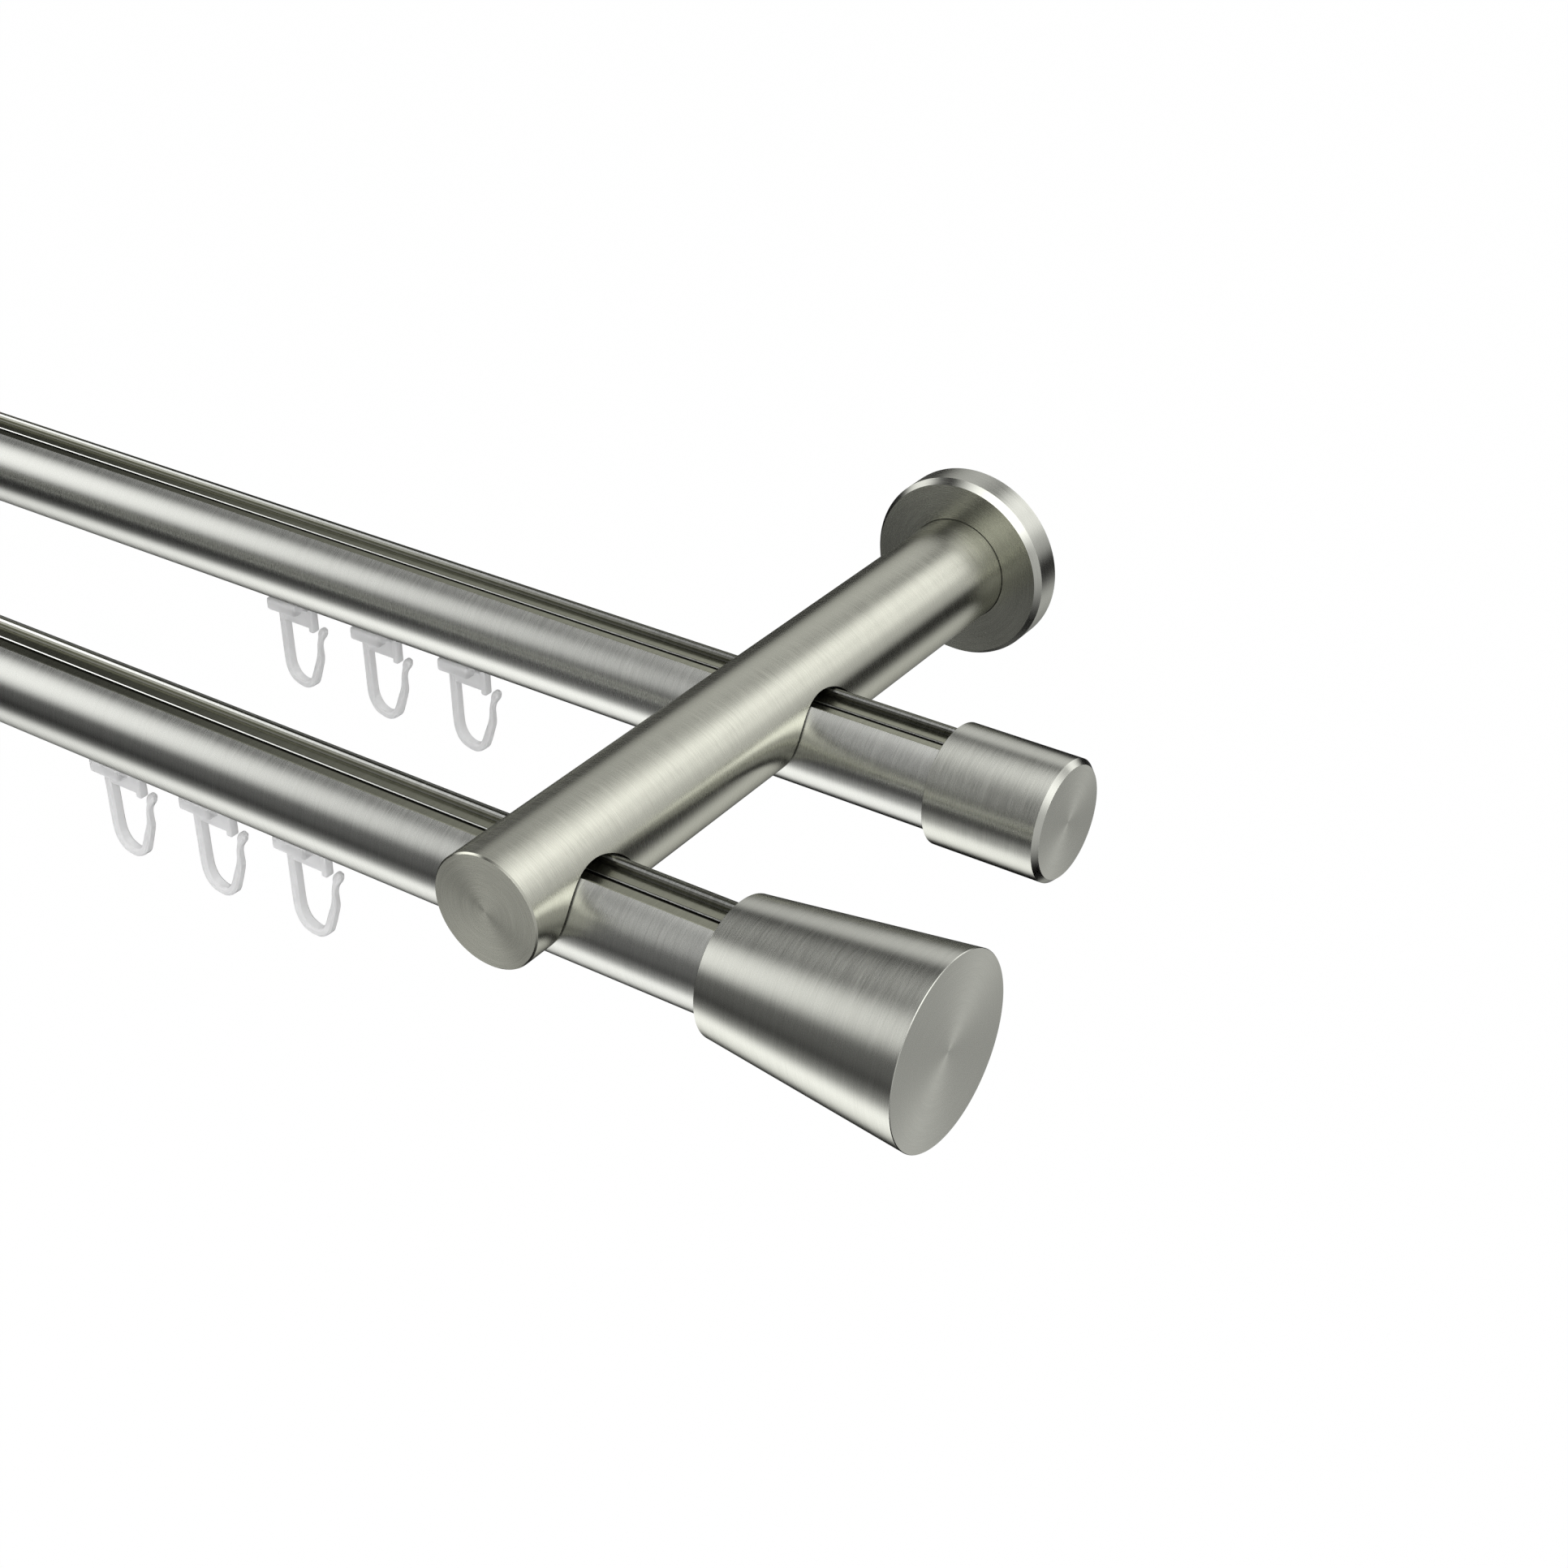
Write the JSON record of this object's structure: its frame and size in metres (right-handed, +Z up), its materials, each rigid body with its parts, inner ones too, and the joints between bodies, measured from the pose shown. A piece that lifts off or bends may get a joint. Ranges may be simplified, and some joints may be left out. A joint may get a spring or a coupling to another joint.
{
  "type": "double curtain pole",
  "caption": "Double curtain pole with slotted inner-track poles on wall brackets, conical finials in front, plain caps behind, and hook gliders.",
  "frame": {"origin": "centre of the tapped hole's mouth in the right arm's wall end, on the wall plane", "axes": "+X along the poles to the right as seen from the room, +Y towards the wall, +Z up"},
  "size_m": [1.0514, 0.1618, 0.0581],
  "materials": {
    "pole_metal": "fine brushed lines round the pole, matt stainless look",
    "fitting_metal": "turned and finely brushed, matt stainless look",
    "screw_metal": "plain",
    "glider_plastic": "milky, slightly translucent"
  },
  "bodies": {
    "pole_set": {"rear_pole": "pole_metal", "front_pole": "pole_metal", "right_arm": "fitting_metal", "right_wall_flange": "fitting_metal", "right_front_finial": "fitting_metal", "right_rear_cap": "fitting_metal", "left_arm": "fitting_metal", "left_wall_flange": "fitting_metal", "left_front_finial": "fitting_metal", "left_rear_cap": "fitting_metal", "right_flange_screw": "screw_metal", "right_rear_clamp_screw": "screw_metal", "right_front_clamp_screw": "screw_metal", "right_front_finial_screw": "screw_metal", "right_rear_cap_screw": "screw_metal", "left_flange_screw": "screw_metal", "left_rear_clamp_screw": "screw_metal", "left_front_clamp_screw": "screw_metal", "left_front_finial_screw": "screw_metal", "left_rear_cap_screw": "screw_metal"},
    "rear_glider_1": {"rear_glider_1": "glider_plastic"},
    "rear_glider_2": {"rear_glider_2": "glider_plastic"},
    "rear_glider_3": {"rear_glider_3": "glider_plastic"},
    "front_glider_1": {"front_glider_1": "glider_plastic"},
    "front_glider_2": {"front_glider_2": "glider_plastic"},
    "front_glider_3": {"front_glider_3": "glider_plastic"}
  },
  "joints": [
    {"name": "rear_glider_1_slide", "type": "slide", "parent": "pole_set", "child": "rear_glider_1", "axis": [1, 0, 0], "range_m": [-0.793, 0.005]},
    {"name": "rear_glider_2_slide", "type": "slide", "parent": "pole_set", "child": "rear_glider_2", "axis": [1, 0, 0], "range_m": [-0.005, 0.005]},
    {"name": "rear_glider_3_slide", "type": "slide", "parent": "pole_set", "child": "rear_glider_3", "axis": [1, 0, 0], "range_m": [-0.005, 0.114]},
    {"name": "front_glider_1_slide", "type": "slide", "parent": "pole_set", "child": "front_glider_1", "axis": [1, 0, 0], "range_m": [-0.813, 0.005]},
    {"name": "front_glider_2_slide", "type": "slide", "parent": "pole_set", "child": "front_glider_2", "axis": [1, 0, 0], "range_m": [-0.005, 0.005]},
    {"name": "front_glider_3_slide", "type": "slide", "parent": "pole_set", "child": "front_glider_3", "axis": [1, 0, 0], "range_m": [-0.005, 0.094]}
  ]
}
